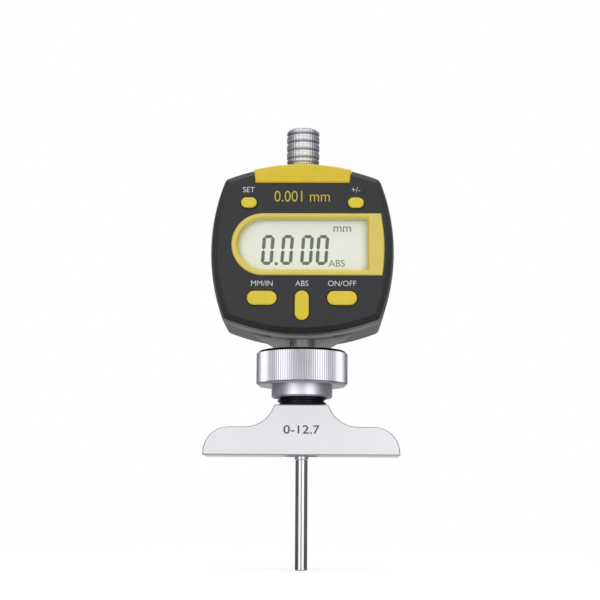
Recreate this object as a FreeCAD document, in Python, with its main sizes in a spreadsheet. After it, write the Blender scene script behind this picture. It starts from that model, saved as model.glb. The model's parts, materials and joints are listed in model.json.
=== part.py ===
import FreeCAD, Part
import math
import os
import re

import Sketcher

# Digital depth gauge: a 0 to 12.7 mm electronic indicator clamped by its 8 mm stem in a steel depth base.
# Origin: where the rod's axis meets the base's measuring face. +Z up, the display looks along -Y.

# Driving dimensions, in millimetres unless the name says count or share.
SIZES = [
    # Depth base
    ("base_length", 63.5),
    ("base_depth", 16.0),
    ("base_height", 16.2),
    ("shoulder_height", 9.1),
    ("hollow_radius", 10.0),
    ("hollow_offset", 18.5),
    ("base_end_radius", 8.4),
    ("base_top_chamfer", 0.3),
    ("base_edge_break", 0.3),
    # Collet bush, pressed in the base
    ("bush_shank_radius", 6.0),
    ("bush_shank_length", 11.2),
    ("thread_radius", 8.0),
    ("thread_length", 11.0),
    ("cone_base_radius", 6.6),
    ("cone_tip_radius", 5.6),
    ("cone_length", 4.3),
    ("throat_radius", 3.2),
    ("stem_seat_rise", 0.4),
    ("slot_width", 1.0),
    ("slot_depth", 12.0),
    ("slot_count", 4),
    # Clamp nut
    ("thread_show", 2.7),
    ("collar_radius", 10.0),
    ("collar_height", 3.9),
    ("collar_chamfer", 0.5),
    ("nut_radius", 15.0),
    ("nut_height", 11.4),
    ("nut_chamfer", 0.9),
    ("nut_mouth_play", 0.6),
    ("knurl_count", 120),
    ("knurl_depth", 0.3),
    ("knurl_groove_share", 0.9),
    # Head outline: four shallow arcs that meet in small corners
    ("head_width", 58.7),
    ("head_height", 56.0),
    ("side_arc_radius", 65.0),
    ("end_arc_radius", 67.0),
    ("corner_radius", 1.2),
    ("front_reach", 11.9),
    # Front bezel
    ("bezel_plate", 1.6),
    ("bezel_wall", 1.6),
    ("bezel_bevel", 1.8),
    ("post_inset_side", 8.95),
    ("post_inset_end", 8.6),
    ("bezel_post_radius", 2.3),
    # Rear housing
    ("housing_margin", 0.8),
    ("housing_wall", 2.0),
    ("housing_cavity", 21.0),
    ("housing_rear_chamfer", 1.0),
    ("web_thick", 2.0),
    ("web_width", 6.0),
    ("neck_gap", 0.7),
    ("boss_length", 4.0),
    ("boss_radius", 8.2),
    ("boss_root_radius", 18.2),
    ("housing_post_radius", 3.0),
    ("guide_half_width", 5.0),
    ("guide_front", 4.0),
    ("guide_top_depth", 9.0),
    # Stem, guide bushes and the parts in the stem
    ("stem_radius", 4.0),
    ("stem_bore_radius", 2.9),
    ("stem_hold", 7.8),
    ("lower_bush_length", 8.0),
    ("upper_bush_radius", 3.3),
    ("wiper_length", 1.0),
    ("wiper_play", 0.05),
    ("buffer_length", 2.4),
    ("buffer_rest_gap", 0.2),
    # Spindle, rod and lifting cap
    ("spindle_radius", 2.25),
    ("spindle_below_base", 1.3),
    ("spindle_chamfer", 0.3),
    ("cap_stud_radius", 1.5),
    ("cap_stud_length", 9.0),
    ("rod_radius", 2.0),
    ("rod_reach", 36.7),
    ("rod_tip_round", 0.5),
    ("rod_stud_radius", 1.25),
    ("rod_stud_length", 5.8),
    ("cap_radius", 5.5),
    ("cap_height", 13.4),
    ("cap_clear", 0.4),
    ("cap_chamfer", 0.8),
    ("ring_first", 2.0),
    ("ring_pitch", 2.75),
    ("ring_depth", 0.4),
    ("ring_half_width", 0.6),
    ("ring_count", 4),
    # Scale carrier, scale and anti-turn rail
    ("carrier_half_width", 6.0),
    ("carrier_height", 14.0),
    ("carrier_rear", 10.2),
    ("scale_half_width", 4.5),
    ("scale_thick", 0.6),
    ("scale_gap", 0.2),
    ("rail_offset", 8.0),
    ("rail_radius", 1.25),
    ("rail_hold", 3.0),
    ("rail_slot_front", 6.4),
    ("set_screw_radius", 1.0),
    ("spring_radius", 3.0),
    ("spring_wire_radius", 0.25),
    ("spring_wire_side_count", 8),
    ("spring_turn_count", 8),
    # Display
    ("frame_radius", 10.3),
    ("frame_left", 23.1),
    ("frame_rise", 1.2),
    ("frame_side_inset", 2.55),
    ("frame_proud", 0.35),
    ("frame_flange", 0.7),
    ("frame_flange_margin", 0.65),
    ("frame_lip", 1.1),
    ("frame_edge", 0.3),
    ("window_bevel", 0.8),
    ("window_radius", 8.3),
    ("window_left_centre", 12.5),
    ("window_right", 21.1),
    ("lens_margin", 0.8),
    ("lens_gap", 0.15),
    ("panel_width", 44.0),
    ("panel_height", 18.6),
    ("panel_thick", 1.7),
    ("strip_thick", 1.1),
    ("strip_height", 1.2),
    ("strip_length", 38.0),
    # Buttons
    ("upper_button_offset", 17.5),
    ("upper_button_rise", 15.0),
    ("upper_button_length", 5.2),
    ("upper_button_width", 3.5),
    ("lower_button_offset", 13.0),
    ("lower_button_drop", 16.6),
    ("lower_button_length", 9.7),
    ("lower_button_width", 4.65),
    ("middle_button_drop", 19.0),
    ("button_proud", 0.7),
    ("button_round", 0.5),
    ("button_flange", 0.7),
    ("button_flange_margin", 0.5),
    ("button_rest_gap", 0.1),
    ("button_post_radius", 1.0),
    ("button_travel", 0.5),
    ("button_spare", 0.05),
    ("dome_radius", 2.0),
    ("dome_thick", 0.15),
    # Circuit board and what it carries
    ("board_thick", 1.0),
    ("board_play", 0.5),
    ("head_board_half_width", 7.0),
    ("head_board_height", 20.0),
    ("head_board_rise", 4.0),
    ("chip_side", 7.0),
    ("chip_thick", 1.2),
    ("chip_offset", 15.0),
    ("chip_drop", 8.0),
    # Battery and its contacts
    ("battery_radius", 10.0),
    ("battery_pole_radius", 8.9),
    ("battery_thick", 3.2),
    ("battery_play", 0.4),
    ("contact_thick", 0.3),
    ("contact_width", 4.0),
    ("contact_reach", 8.0),
    ("contact_foot", 2.0),
    # Battery cover
    ("cover_half_width", 15.45),
    ("cover_lean", 0.55),
    ("cover_height", 6.3),
    ("cover_proud", 0.5),
    ("cover_edge", 0.4),
    ("cover_wall", 1.2),
    ("cover_play", 0.15),
    # Back cover, its gasket and the screws
    ("back_rim", 2.0),
    ("back_cover_thick", 2.0),
    ("gasket_thick", 0.5),
    ("screw_radius", 1.0),
    ("screw_head_radius", 1.9),
    ("screw_head_height", 1.1),
    ("cover_screw_length", 5.4),
    ("cover_screw_boss_radius", 2.2),
    ("cover_screw_boss_length", 3.0),
    ("cover_screw_inset", 4.6),
    ("cover_screw_rise", 8.0),
    ("bezel_screw_length", 7.4),
    ("bezel_screw_floor", 3.8),
    ("driver_slot_width", 0.6),
    ("driver_slot_depth", 0.5),
    # Small plays shared by all pieces
    ("running_play", 0.03),
    ("press_play", 0.01),
    ("seat_play", 0.1),
    ("overrun", 1.0),
]

# Heights, from the measuring face upwards.
nut_bottom = "(base_height + thread_show)"
disc_bottom = f"({nut_bottom} + collar_height)"
nut_top = f"({disc_bottom} + nut_height)"
thread_top = "(base_height + thread_length)"
cone_top = f"({thread_top} + cone_length)"
stem_bottom = "(base_height + stem_seat_rise)"
boss_bottom = f"({nut_top} + neck_gap)"
stem_top = f"({boss_bottom} + stem_hold)"
bezel_bottom = f"({boss_bottom} + boss_length)"
head_centre = f"({bezel_bottom} + head_height / 2)"
bezel_top = f"({head_centre} + head_height / 2)"
housing_top = f"({bezel_top} + housing_margin)"
cap_bottom = f"({housing_top} + cap_clear)"
carrier_bottom = f"({stem_top} + buffer_length + buffer_rest_gap)"
carrier_top = f"({carrier_bottom} + carrier_height)"
guide_top = f"({housing_top} - guide_top_depth)"
frame_centre = f"({head_centre} + frame_rise)"
battery_centre = f"({bezel_top} - cover_wall - battery_play - battery_radius)"
cover_bottom = f"({bezel_top} - cover_height)"
cover_wide = "(cover_half_width + cover_lean)"
cover_corner = f"({bezel_top} - end_arc_radius + sqrt(end_arc_radius^2 - {cover_wide}^2))"
head_board_bottom = f"({carrier_bottom} + head_board_rise)"

# Depths along Y, from the display side backwards.
face = "(-front_reach)"
plate_rear = f"({face} + bezel_plate)"
frame_front = f"({face} - frame_proud)"
lens_front = f"({frame_front} + frame_lip)"
frame_rear = f"({plate_rear} + frame_flange)"
panel_rear = f"({frame_rear} + panel_thick)"
board_front = f"({panel_rear} + strip_thick)"
board_rear = f"({board_front} + board_thick)"
battery_front = f"({panel_rear} + battery_play)"
battery_rear = f"({battery_front} + battery_thick)"
web_front = f"({board_rear} + housing_cavity)"
web_rear = f"({web_front} + web_thick)"
cover_front = f"({web_rear} + gasket_thick)"
back = f"({cover_front} + back_cover_thick)"
screw_floor = f"({board_rear} + bezel_screw_floor)"

# How far a nested outline lies inside the bezel's own.
housing_outline = "(-housing_margin)"
housing_inner = "(housing_wall - housing_margin)"
back_outline = "(back_rim - housing_margin)"
web_outline = "(housing_wall - housing_margin + web_width)"

# The screws that hold the bezel, and those that hold the back cover.
post_x = "(head_width / 2 - post_inset_side)"
post_z = "(head_height / 2 - post_inset_end)"
cover_screw_x = "(head_width / 2 - cover_screw_inset)"

# Name of each button, its centre, its long and short side, and whether it stands upright.
BUTTONS = {
    "button_tolerance": ("-upper_button_offset", "upper_button_rise",
                         "upper_button_length", "upper_button_width", False),
    "button_range": ("upper_button_offset", "upper_button_rise",
                     "upper_button_length", "upper_button_width", False),
    "button_units": ("-lower_button_offset", "-lower_button_drop",
                     "lower_button_length", "lower_button_width", False),
    "button_zero": ("lower_button_offset", "-lower_button_drop",
                    "lower_button_length", "lower_button_width", False),
    "button_mode": ("0", "-middle_button_drop", "lower_button_length", "lower_button_width", True),
}

doc = FreeCAD.newDocument("depth_gauge")
sheet = doc.addObject("Spreadsheet::Sheet", "Sizes")
for row, (alias, number) in enumerate(SIZES, start=1):
    sheet.set(f"A{row}", alias)
    sheet.set(f"B{row}", str(number))
    sheet.setAlias(f"B{row}", alias)
doc.recompute()

ALIASES = {alias for alias, number in SIZES}
CORNER_SIGNS = [(1, 1), (-1, 1), (-1, -1), (1, -1)]
Z_UP = FreeCAD.Vector(0, 0, 1)
nodes = []


def bound(text):
    """The expression with every size's name pointed at the sheet."""
    return re.sub(r"[a-z_]+", lambda word: f"Sizes.{word[0]}" if word[0] in ALIASES else word[0], text)


def value(text):
    """What the expression comes to now."""
    return float(sheet.evalExpression(bound(text)))


def tie(thing, **places):
    """Bind properties of a feature; a double underscore in a name stands for a dot."""
    for name, text in places.items():
        thing.setExpression(name.replace("__", "."), bound(text))


def node(thing, name):
    """Name a finished sub-part and keep it for the export."""
    thing.Label = name
    nodes.append(thing)
    return thing


def new_body(name):
    return node(doc.addObject("PartDesign::Body", name), name)


def origin(body, role):
    return next(item for item in body.Origin.OriginFeatures if item.Role == role)


def sketch_on(body, role, offset):
    """A sketch on one of the body's own origin planes, moved along the plane's normal."""
    sketch = body.newObject("Sketcher::SketchObject", "outline")
    sketch.AttachmentSupport = (origin(body, role), [""])
    sketch.MapMode = "FlatFace"
    sketch.setExpression("AttachmentOffset.Base.z", bound(offset))
    return sketch


def upright_sketch(body, depth):
    """A sketch in X and Z at one depth; its normal looks forward, along -Y."""
    return sketch_on(body, "XZ_Plane", f"-({depth})")


def level_sketch(body, height):
    """A sketch in X and Y at one height; its normal looks up."""
    return sketch_on(body, "XY_Plane", height)


def constrain(sketch, kind, *items, text):
    """Add a constraint whose datum follows the sheet."""
    index = sketch.addConstraint(Sketcher.Constraint(kind, *items, value(text)))
    sketch.setExpression(f"Constraints[{index}]", bound(text))


def fix(sketch, edge, end, x, y):
    constrain(sketch, "DistanceX", -1, 1, edge, end, text=x)
    constrain(sketch, "DistanceY", -1, 1, edge, end, text=y)


def arc_edge(start, end, radius, side):
    """An arc from start to end; side is 1 where it turns left and -1 where it turns right."""
    chord = end - start
    rise = math.sqrt(max(radius**2 - (chord.Length / 2) ** 2, 0))
    across = FreeCAD.Vector(-chord.y, chord.x, 0).normalize()
    centre = (start + end) / 2 + across * rise * side
    first, last = (start, end) if side > 0 else (end, start)
    from_angle = math.atan2(first.y - centre.y, first.x - centre.x)
    to_angle = math.atan2(last.y - centre.y, last.x - centre.x)
    if to_angle < from_angle:
        to_angle += 2 * math.pi
    return Part.ArcOfCircle(Part.Circle(centre, Z_UP, radius), from_angle, to_angle)


def draw_path(sketch, corners):
    """A closed outline. Each corner is x, y and, where an arc leaves it, the arc's radius and side."""
    points = [FreeCAD.Vector(value(corner[0]), value(corner[1]), 0) for corner in corners]
    ends = []
    for index, corner in enumerate(corners):
        start, end = points[index], points[(index + 1) % len(points)]
        if len(corner) == 2:
            edge = sketch.addGeometry(Part.LineSegment(start, end))
            ends.append((edge, 1, 2))
        else:
            edge = sketch.addGeometry(arc_edge(start, end, value(corner[2]), corner[3]))
            ends.append((edge, 1, 2) if corner[3] > 0 else (edge, 2, 1))
    for index, corner in enumerate(corners):
        edge, start, end = ends[index]
        following, next_start, next_end = ends[(index + 1) % len(ends)]
        sketch.addConstraint(Sketcher.Constraint("Coincident", edge, end, following, next_start))
        fix(sketch, edge, start, corner[0], corner[1])
        if len(corner) > 2:
            constrain(sketch, "Radius", edge, text=corner[2])


def draw_box(sketch, left, bottom, right, top):
    draw_path(sketch, [(left, bottom), (right, bottom), (right, top), (left, top)])


def draw_circle(sketch, x, y, radius):
    centre = FreeCAD.Vector(value(x), value(y), 0)
    edge = sketch.addGeometry(Part.Circle(centre, Z_UP, value(radius)))
    fix(sketch, edge, 3, x, y)
    constrain(sketch, "Radius", edge, text=radius)


def draw_pill(sketch, x, z, length, width, upright, grow="0"):
    """A slot outline with round ends, lying along X or standing along Z."""
    r = f"({width} / 2 + {grow})"
    s = f"(({length} - {width}) / 2)"
    if upright:
        draw_path(sketch, [
            (f"{x} + {r}", f"{z} - {s}"),
            (f"{x} + {r}", f"{z} + {s}", r, 1),
            (x, f"{z} + {s} + {r}", r, 1),
            (f"{x} - {r}", f"{z} + {s}"),
            (f"{x} - {r}", f"{z} - {s}", r, 1),
            (x, f"{z} - {s} - {r}", r, 1),
        ])
    else:
        draw_path(sketch, [
            (f"{x} - {s}", f"{z} - {r}"),
            (f"{x} + {s}", f"{z} - {r}", r, 1),
            (f"{x} + {s} + {r}", z, r, 1),
            (f"{x} + {s}", f"{z} + {r}"),
            (f"{x} - {s}", f"{z} + {r}", r, 1),
            (f"{x} - {s} - {r}", z, r, 1),
        ])


def head_corner(inset):
    """Where the side arc and the end arc of a nested head outline cross, from the head's centre."""
    side = value(f"side_arc_radius - {inset}")
    end = value(f"end_arc_radius - {inset}")
    side_centre = value(f"head_width / 2 - side_arc_radius")
    end_centre = value(f"head_height / 2 - end_arc_radius")
    apart = math.hypot(side_centre, end_centre)
    along = (side**2 - end**2 + apart**2) / (2 * apart)
    across = math.sqrt(side**2 - along**2)
    x = side_centre - (along * side_centre + across * end_centre) / apart
    z = along * end_centre / apart - across * side_centre / apart
    return FreeCAD.Vector(x, z, 0)


def draw_head(sketch, inset):
    """The head's outline of four arcs, a given distance inside the bezel's."""
    corner = head_corner(inset)
    side_centre = "(head_width / 2 - side_arc_radius)"
    end_centre = "(head_height / 2 - end_arc_radius)"
    side_radius = f"(side_arc_radius - {inset})"
    end_radius = f"(end_arc_radius - {inset})"
    middle = FreeCAD.Vector(0, value(head_centre), 0)
    arcs = [
        (side_centre, head_centre, side_radius, (1, -1), (1, 1)),
        ("0", f"{head_centre} + {end_centre}", end_radius, (1, 1), (-1, 1)),
        (f"-{side_centre}", head_centre, side_radius, (-1, 1), (-1, -1)),
        ("0", f"{head_centre} - {end_centre}", end_radius, (-1, -1), (1, -1)),
    ]
    edges = []
    for x, z, radius, start, end in arcs:
        first = middle + FreeCAD.Vector(corner.x * start[0], corner.y * start[1], 0)
        last = middle + FreeCAD.Vector(corner.x * end[0], corner.y * end[1], 0)
        edges.append(sketch.addGeometry(arc_edge(first, last, value(radius), 1)))
        fix(sketch, edges[-1], 3, x, z)
        constrain(sketch, "Radius", edges[-1], text=radius)
    for edge, following in zip(edges, edges[1:] + edges[:1]):
        sketch.addConstraint(Sketcher.Constraint("Coincident", edge, 2, following, 1))


def draw_frame(sketch, grow):
    """The display frame's outline: round on the left, along the head's side arc on the right."""
    r = f"(frame_radius + {grow})"
    left = "(frame_radius - frame_left)"
    side_centre = "(head_width / 2 - side_arc_radius)"
    side_radius = f"(side_arc_radius - frame_side_inset + {grow})"
    upper = f"{side_centre} + sqrt({side_radius}^2 - (frame_rise + {r})^2)"
    lower = f"{side_centre} + sqrt({side_radius}^2 - (frame_rise - {r})^2)"
    draw_path(sketch, [
        (left, f"{frame_centre} - {r}"),
        (lower, f"{frame_centre} - {r}", side_radius, 1),
        (upper, f"{frame_centre} + {r}"),
        (left, f"{frame_centre} + {r}", r, 1),
        (f"{left} - {r}", frame_centre, r, 1),
    ])


def draw_window(sketch, grow):
    """The display opening: round on the left, square on the right."""
    r = f"(window_radius + {grow})"
    left = "(-window_left_centre)"
    draw_path(sketch, [
        (left, f"{frame_centre} - {r}"),
        (f"window_right + {grow}", f"{frame_centre} - {r}"),
        (f"window_right + {grow}", f"{frame_centre} + {r}"),
        (left, f"{frame_centre} + {r}", r, 1),
        (f"{left} - {r}", frame_centre, r, 1),
    ])


def check_cut(body, feature, before):
    """A cut that points away from the solid, or one that loses it, shows no error by itself."""
    shape = feature.Shape
    if not 0 < shape.Volume < before or not shape.isValid():
        raise ValueError(f"{feature.Label} of {body.Label} is no proper cut")


def pad(body, sketch, length, backwards=False):
    """Add material along the sketch's normal, or against it."""
    feature = body.newObject("PartDesign::Pad", "pad")
    feature.Profile = sketch
    feature.Reversed = backwards
    tie(feature, Length=length)
    doc.recompute()
    return feature


def pocket(body, sketch, length, along_normal=False):
    """Cut against the sketch's normal, or along it, and see that material went."""
    before = body.Shape.Volume
    feature = body.newObject("PartDesign::Pocket", "pocket")
    feature.Profile = sketch
    feature.Reversed = along_normal
    tie(feature, Length=length)
    doc.recompute()
    check_cut(body, feature, before)
    return feature


def revolve(body, corners, angle=360):
    """Turn a half profile, given as radius and height, about Z, from +X by way of the rear."""
    sketch = upright_sketch(body, "0")
    draw_path(sketch, corners)
    feature = body.newObject("PartDesign::Revolution", "turn")
    feature.Profile = sketch
    feature.ReferenceAxis = (origin(body, "Z_Axis"), [""])
    feature.Angle = angle
    doc.recompute()
    return feature


def edges_where(feature, test):
    """The names of the edges that pass a test on their shape."""
    return [f"Edge{index}" for index, edge in enumerate(feature.Shape.Edges, start=1) if test(edge)]


def at_depth(depth):
    """A test for edges that lie at one depth along Y."""
    place = value(depth)
    return lambda edge: all(math.isclose(point.Y, place, abs_tol=1e-6) for point in edge.Vertexes)


def runs_deep(edge):
    """Whether an edge is straight and leads backwards, as the head's corners and their mitres do."""
    return edge.Curve.TypeId == "Part::GeomLine" and edge.BoundBox.YLength > edge.Length / 2


def inside_window(edge):
    """Whether an edge keeps to the display opening's height, which the frame's own rim doesn't."""
    middle = value(frame_centre)
    reach = value("window_radius + frame_edge")
    return edge.BoundBox.ZMax - middle < reach and middle - edge.BoundBox.ZMin < reach


def dress(body, kind, base, edges, size):
    """A fillet or chamfer on named edges."""
    feature = body.newObject(f"PartDesign::{kind}", kind.lower())
    feature.Base = (base, edges)
    tie(feature, **{"Radius" if kind == "Fillet" else "Size": size})
    doc.recompute()
    return feature


def repeat_round(body, feature, count):
    """Repeat a cut evenly round Z."""
    before = body.Shape.Volume
    pattern = body.newObject("PartDesign::PolarPattern", "pattern")
    pattern.Originals = [feature]
    pattern.Axis = (origin(body, "Z_Axis"), [""])
    pattern.Angle = 360
    tie(pattern, Occurrences=count)
    body.Tip = pattern
    doc.recompute()
    check_cut(body, pattern, before)
    return pattern


TURNS = {
    "X": FreeCAD.Rotation(FreeCAD.Vector(0, 1, 0), 90),
    "Y": FreeCAD.Rotation(FreeCAD.Vector(1, 0, 0), -90),
    "Z": FreeCAD.Rotation(),
}


def cylinder(radius, height, x, y, z, along="Z"):
    """A plain cylinder that starts at a point and runs along one axis."""
    solid = doc.addObject("Part::Cylinder", "cylinder")
    solid.Placement = FreeCAD.Placement(FreeCAD.Vector(), TURNS[along])
    tie(solid, Radius=radius, Height=height,
        Placement__Base__x=x, Placement__Base__y=y, Placement__Base__z=z)
    return solid


def block(left, right, front, rear, bottom, top):
    """A box between two values on each axis."""
    solid = doc.addObject("Part::Box", "block")
    tie(solid, Length=f"{right} - ({left})", Width=f"{rear} - ({front})", Height=f"{top} - ({bottom})",
        Placement__Base__x=left, Placement__Base__y=front, Placement__Base__z=bottom)
    return solid


def cut_from(base, tool):
    solid = doc.addObject("Part::Cut", "cut")
    solid.Base = base
    solid.Tool = tool
    return solid


def fused(pieces):
    solid = doc.addObject("Part::MultiFuse", "fusion")
    solid.Shapes = pieces
    return solid


def group(pieces):
    """Separate solids that share one node."""
    compound = doc.addObject("Part::Compound", "group")
    compound.Links = pieces
    return compound


def make_depth_base():
    """The bridge-shaped foot: ground ends, hollow shoulders, a plateau for the collet bush."""
    body = new_body("depth_base")
    half = "base_length / 2"
    rounding = f"min(base_end_radius; {half} - hollow_offset - base_edge_break)"
    end_start = f"shoulder_height - {rounding}"
    plateau_side = "base_height - base_top_chamfer"
    plateau = (f"(hollow_offset - sqrt(hollow_radius^2"
               f" - (shoulder_height + hollow_radius - {plateau_side})^2))")
    right = [
        (half, "0"),
        (half, end_start, rounding, 1),
        (f"{half} - {rounding}", "shoulder_height"),
        ("hollow_offset", "shoulder_height", "hollow_radius", -1),
        (plateau, plateau_side),
        (f"{plateau} - base_top_chamfer", "base_height"),
    ]
    left = [
        (f"-({plateau} - base_top_chamfer)", "base_height"),
        (f"-{plateau}", plateau_side, "hollow_radius", -1),
        ("-hollow_offset", "shoulder_height"),
        (f"-({half} - {rounding})", "shoulder_height", rounding, 1),
        (f"-{half}", end_start),
        (f"-{half}", "0"),
    ]
    sketch = upright_sketch(body, "base_depth / 2")
    draw_path(sketch, right + left)
    blank = pad(body, sketch, "base_depth")
    front = at_depth("-base_depth / 2")
    rear = at_depth("base_depth / 2")
    broken = dress(body, "Chamfer", blank, edges_where(blank, lambda edge: front(edge) or rear(edge)),
                   "base_edge_break")
    body.Tip = broken
    bore = level_sketch(body, "base_height")
    draw_circle(bore, "0", "0", "bush_shank_radius + press_play")
    pocket(body, bore, "base_height")


def make_collet_bush():
    """The black bush: a shank for the base, a thread for the nut and four spring fingers."""
    body = new_body("collet_bush")
    bore = "stem_radius + running_play"
    revolve(body, [
        ("throat_radius", "base_height - bush_shank_length"),
        ("bush_shank_radius", "base_height - bush_shank_length"),
        ("bush_shank_radius", "base_height"),
        ("thread_radius", "base_height"),
        ("thread_radius", thread_top),
        ("cone_base_radius", thread_top),
        ("cone_tip_radius", cone_top),
        (bore, cone_top),
        (bore, stem_bottom),
        ("throat_radius", stem_bottom),
    ])
    slot = level_sketch(body, cone_top)
    draw_box(slot, "0", "-slot_width / 2", "thread_radius + overrun", "slot_width / 2")
    first = pocket(body, slot, "slot_depth")
    repeat_round(body, first, "slot_count")


def make_clamp_nut():
    """The knurled nut: its thread lifts an inner cone against the collet's fingers."""
    body = new_body("clamp_nut")
    thread = "thread_radius + running_play"
    revolve(body, [
        (thread, nut_bottom),
        ("collar_radius - collar_chamfer", nut_bottom),
        ("collar_radius", f"{nut_bottom} + collar_chamfer"),
        ("collar_radius", disc_bottom),
        ("nut_radius - nut_chamfer", disc_bottom),
        ("nut_radius", f"{disc_bottom} + nut_chamfer"),
        ("nut_radius", f"{nut_top} - nut_chamfer"),
        ("nut_radius - nut_chamfer", nut_top),
        ("stem_radius + nut_mouth_play", nut_top),
        ("stem_radius + nut_mouth_play", f"{cone_top} + seat_play"),
        ("cone_tip_radius + seat_play", f"{cone_top} + seat_play"),
        ("cone_base_radius + seat_play", f"{thread_top} + seat_play"),
        (thread, f"{thread_top} + seat_play"),
    ])
    half = "(pi * nut_radius / knurl_count * knurl_groove_share)"
    outer = f"{half} * (knurl_depth + overrun) / knurl_depth"
    groove = level_sketch(body, nut_top)
    draw_path(groove, [
        ("nut_radius - knurl_depth", "0"),
        ("nut_radius + overrun", f"-{outer}"),
        ("nut_radius + overrun", outer),
    ])
    first = pocket(body, groove, "nut_height")
    repeat_round(body, first, "knurl_count")


def make_front_bezel():
    """The dark front shell with its bevel, display opening, button holes and cover notch."""
    body = new_body("front_bezel")
    depth = f"{board_rear} - {face}"
    sketch = upright_sketch(body, board_rear)
    draw_head(sketch, "0")
    blank = pad(body, sketch, depth)
    bevelled = dress(body, "Chamfer", blank, edges_where(blank, at_depth(face)), "bezel_bevel")
    rounded = dress(body, "Fillet", bevelled, edges_where(bevelled, runs_deep), "corner_radius")
    body.Tip = rounded
    cavity = upright_sketch(body, board_rear)
    draw_head(cavity, "bezel_wall")
    pocket(body, cavity, f"{board_rear} - {plate_rear}", along_normal=True)
    posts = upright_sketch(body, plate_rear)
    for side, end in CORNER_SIGNS:
        draw_circle(posts, f"{side} * {post_x}", f"{head_centre} + {end} * {post_z}", "bezel_post_radius")
    pad(body, posts, f"{board_front} - {plate_rear}", backwards=True)
    opening = upright_sketch(body, face)
    draw_frame(opening, "seat_play")
    pocket(body, opening, "bezel_plate + overrun")
    holes = upright_sketch(body, face)
    for x, rise, length, width, upright in BUTTONS.values():
        draw_pill(holes, x, f"({head_centre} + {rise})", length, width, upright, "cover_play + seat_play")
    pocket(body, holes, "bezel_plate + overrun")
    notch = upright_sketch(body, face)
    draw_cover_room(notch, "cover_play")
    pocket(body, notch, f"{depth} + overrun")
    screw_holes = upright_sketch(body, board_front)
    for side, end in CORNER_SIGNS:
        draw_circle(screw_holes, f"{side} * {post_x}", f"{head_centre} + {end} * {post_z}",
                    "screw_radius + press_play")
    pocket(body, screw_holes, f"{board_front} - {plate_rear}", along_normal=True)


def draw_cover_room(sketch, play):
    """The room for the battery cover: a straight foot and sides that lean out, past the head's top."""
    top = f"({bezel_top} + overrun + overrun)"
    wide = f"(cover_half_width + cover_lean * ({top} - {cover_bottom}) / ({cover_corner} - {cover_bottom}))"
    draw_path(sketch, [
        (f"-(cover_half_width + {play})", f"{cover_bottom} - ({play})"),
        (f"cover_half_width + {play}", f"{cover_bottom} - ({play})"),
        (f"{wide} + {play}", top),
        (f"-({wide} + {play})", top),
    ])


def make_rear_housing():
    """The grey cast shell: stem boss, screw posts, guide blocks and the ledge for the back cover."""
    body = new_body("rear_housing")
    sketch = upright_sketch(body, board_rear)
    draw_head(sketch, housing_outline)
    blank = pad(body, sketch, f"{back} - {board_rear}", backwards=True)
    rounded = dress(body, "Fillet", blank, edges_where(blank, runs_deep), "corner_radius + housing_margin")
    bevelled = dress(body, "Chamfer", rounded, edges_where(rounded, at_depth(back)), "housing_rear_chamfer")
    body.Tip = bevelled
    # The boss is half a cone: in front the stem stays in view.
    boss_top = f"({bezel_bottom} + housing_wall)"
    revolve(body, [
        ("0", boss_bottom),
        ("boss_radius", boss_bottom),
        ("boss_root_radius", boss_top),
        ("0", boss_top),
    ], angle=180)
    cavity = upright_sketch(body, board_rear)
    draw_head(cavity, housing_inner)
    pocket(body, cavity, "housing_cavity")
    window = upright_sketch(body, web_front)
    draw_head(window, web_outline)
    pocket(body, window, "web_thick + overrun")
    ledge = upright_sketch(body, back)
    draw_head(ledge, back_outline)
    pocket(body, ledge, "back_cover_thick + gasket_thick", along_normal=True)

    for low, high in [(bezel_bottom, stem_top), (guide_top, f"({housing_top} - housing_wall / 2)")]:
        lower = level_sketch(body, low)
        draw_box(lower, "-guide_half_width", "-guide_front", "guide_half_width", web_front)
        pad(body, lower, f"{high} - {low}")
    posts = upright_sketch(body, board_rear)
    for side, end in CORNER_SIGNS:
        draw_circle(posts, f"{side} * {post_x}", f"{head_centre} + {end} * {post_z}", "housing_post_radius")
    pad(body, posts, "housing_cavity", backwards=True)
    lugs = upright_sketch(body, web_front)
    for side, end in CORNER_SIGNS:
        draw_circle(lugs, f"{side} * {cover_screw_x}", f"{head_centre} + {end} * cover_screw_rise",
                    "cover_screw_boss_radius")
    pad(body, lugs, "cover_screw_boss_length")

    stem_bore = level_sketch(body, boss_bottom)
    draw_circle(stem_bore, "0", "0", "stem_radius + press_play")
    pocket(body, stem_bore, "stem_hold", along_normal=True)
    bush_bore = level_sketch(body, f"{housing_top} + overrun")
    draw_circle(bush_bore, "0", "0", "upper_bush_radius + press_play")
    pocket(body, bush_bore, "guide_top_depth + overrun + overrun")
    for height, upwards in [(stem_top, False), (guide_top, True)]:
        rail_hole = level_sketch(body, height)
        draw_circle(rail_hole, "0", "rail_offset", "rail_radius + press_play")
        pocket(body, rail_hole, "rail_hold", along_normal=upwards)
    notch = upright_sketch(body, board_rear)
    draw_cover_room(notch, "cover_play")
    pocket(body, notch, f"{battery_rear} + seat_play - {board_rear}")
    for depth, length, radius in [
        (board_rear, f"{web_rear} - {board_rear} + overrun", "screw_radius + seat_play"),
        (screw_floor, f"{web_rear} - {screw_floor} + overrun", "screw_head_radius + seat_play"),
    ]:
        holes = upright_sketch(body, depth)
        for side, end in CORNER_SIGNS:
            draw_circle(holes, f"{side} * {post_x}", f"{head_centre} + {end} * {post_z}", radius)
        pocket(body, holes, length)
    taps = upright_sketch(body, web_rear)
    for side, end in CORNER_SIGNS:
        draw_circle(taps, f"{side} * {cover_screw_x}", f"{head_centre} + {end} * cover_screw_rise",
                    "screw_radius + press_play")
    pocket(body, taps, "web_thick + cover_screw_boss_length", along_normal=True)


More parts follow.
